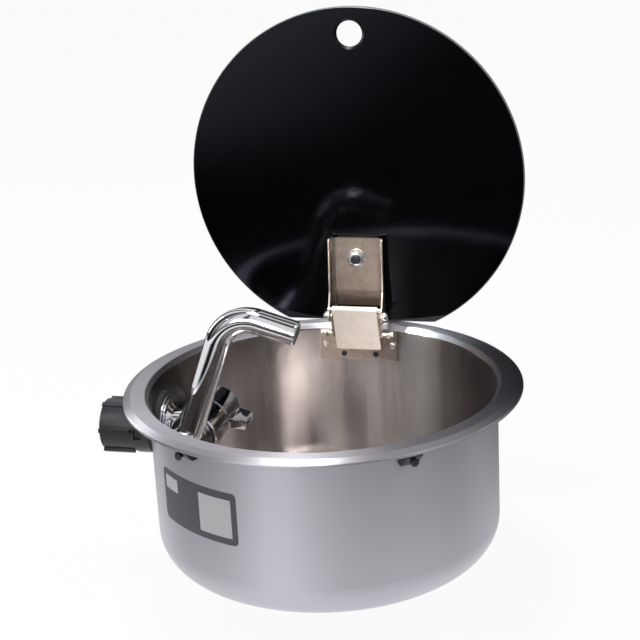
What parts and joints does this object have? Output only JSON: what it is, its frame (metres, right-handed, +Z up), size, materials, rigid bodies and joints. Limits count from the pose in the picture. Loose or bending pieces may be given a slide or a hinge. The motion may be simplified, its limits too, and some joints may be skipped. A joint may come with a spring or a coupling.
{
  "type": "round sink with glass lid",
  "caption": "Round drop-in steel basin with a flip-up black glass lid on a linked hinge and a fold-down tap fixed to its wall.",
  "frame": {"origin": "On the bowl's axis, in the plane of the worktop that the rim's lip rests on.", "axes": "+Z up along the bowl's axis, +Y towards the lid hinge, -X towards the tap's inlet."},
  "size_m": [0.3745, 0.345, 0.4925],
  "materials": {
    "bowl_steel": "satin brushed stainless steel",
    "label_film": "matt dark grey film",
    "panel_film": "matt silver film",
    "black_plastic": "matt black plastic",
    "zinc_steel": "bright zinc-plated steel",
    "oxide_steel": "black-oxide steel",
    "hinge_steel": "satin stainless steel sheet",
    "lid_glass_black": "black toughened glass, polished",
    "tap_chrome": "polished chrome",
    "gasket_rubber": "black rubber",
    "brass_raw": "plain brass",
    "white_plastic": "white plastic",
    "grey_plastic": "grey plastic"
  },
  "bodies": {
    "bowl_body": {"bowl": "bowl_steel", "label": "label_film", "label_panels": "panel_film", "mount_clips": "black_plastic", "clip_screws": "oxide_steel", "hinge_base": "hinge_steel", "hinge_rivets": "oxide_steel", "hinge_screws": "zinc_steel", "lower_pins": "zinc_steel", "tap_body": "tap_chrome", "escutcheon": "tap_chrome", "inner_gasket": "gasket_rubber", "outer_gasket": "gasket_rubber", "tap_collar": "black_plastic", "back_nut": "black_plastic", "valve_cartridge": "white_plastic", "spout_seals": "gasket_rubber", "spout_retainer": "tap_chrome", "waste_strainer": "bowl_steel", "waste_gasket": "gasket_rubber", "waste_body": "black_plastic", "waste_screw": "zinc_steel"},
    "link": {"hinge_link": "hinge_steel"},
    "lid": {"upper_pin": "zinc_steel", "stay_rod": "zinc_steel", "lid_bracket": "hinge_steel", "lid_pad": "gasket_rubber", "lid_glass": "lid_glass_black", "lid_washer": "gasket_rubber", "lid_bolt": "oxide_steel", "lid_nut": "zinc_steel"},
    "stay": {"stay_plate": "hinge_steel"},
    "handle": {"valve_spindle": "brass_raw", "handle_cap": "tap_chrome", "handle_lever": "tap_chrome", "handle_screw": "zinc_steel", "handle_button": "tap_chrome"},
    "spout": {"spout_knuckle": "tap_chrome", "spout_tube": "tap_chrome", "aerator": "grey_plastic"}
  },
  "joints": [
    {"name": "lid_hinge", "type": "hinge", "parent": "bowl_body", "child": "link", "pos_m": [0, 0.14121, -0.00128], "axis": [1, 0, 0], "range_deg": [0, 126.14]},
    {"name": "lid_pivot", "type": "hinge", "parent": "link", "child": "lid", "pos_m": [0, 0.137, 0.0174], "axis": [1, 0, 0], "range_deg": [-36.15, 0.01]},
    {"name": "stay_pivot", "type": "hinge", "parent": "lid", "child": "stay", "pos_m": [0, 0.1335, 0.0244], "axis": [1, 0, 0], "range_deg": [-90.01, 0.01]},
    {"name": "spout_fold", "type": "hinge", "parent": "bowl_body", "child": "spout", "pos_m": [-0.115, -0.0373, -0.045], "axis": [0, 1, 0], "range_deg": [-0.01, 72.01]},
    {"name": "handle_turn", "type": "hinge", "parent": "bowl_body", "child": "handle", "pos_m": [-0.115, 0.0355, -0.045], "axis": [0, -1, 0], "range_deg": [0, 90]}
  ],
  "couplings": [
    {"joint": "lid_pivot", "follows": "lid_hinge", "ratio": -0.28648},
    {"joint": "stay_pivot", "follows": "lid_hinge", "ratio": -0.71352},
    {"joint": "spout_fold", "follows": "lid_hinge", "ratio": 0.57082}
  ]
}
